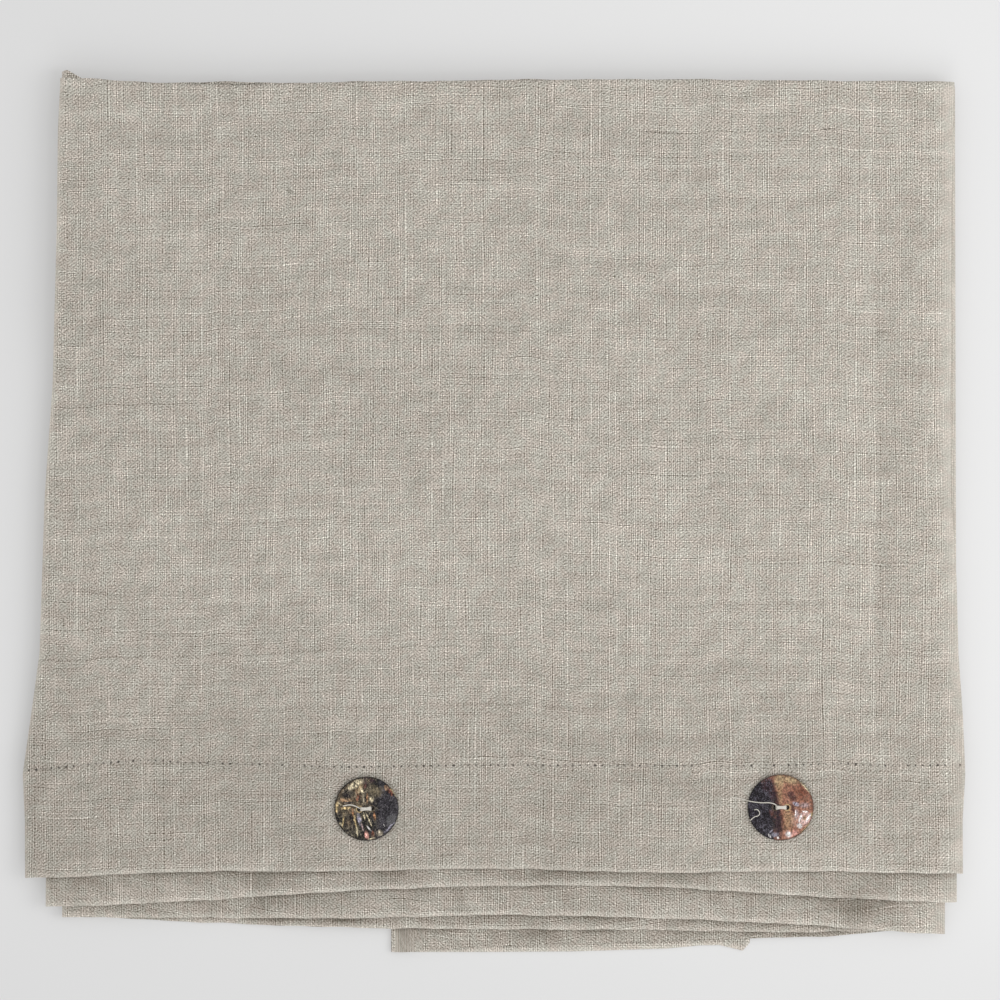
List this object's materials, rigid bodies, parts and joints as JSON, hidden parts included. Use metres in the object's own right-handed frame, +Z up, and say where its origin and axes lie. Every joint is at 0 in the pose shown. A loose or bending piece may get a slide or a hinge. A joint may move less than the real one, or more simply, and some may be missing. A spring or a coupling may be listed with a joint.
{
  "type": "folded table runner",
  "caption": "Linen table runner folded back and forth into a flat stack, its wide hem on top with round shell buttons.",
  "frame": {"origin": "on the table under the middle of the folded cloth", "axes": "+Z up, +X along the cloth's width to the right, +Y from the front folds to the back folds"},
  "size_m": [0.3583, 0.3354, 0.0152],
  "materials": {
    "linen": "plain woven stonewashed natural linen, matt, with slubs",
    "dark_shell": "polished dark shell with gold and tan veins",
    "brown_shell": "polished shell, near black on the left and copper brown on the right"
  },
  "bodies": {
    "root": {"runner": "linen", "button_left": "dark_shell", "button_right": "brown_shell"}
  },
  "joints": []
}
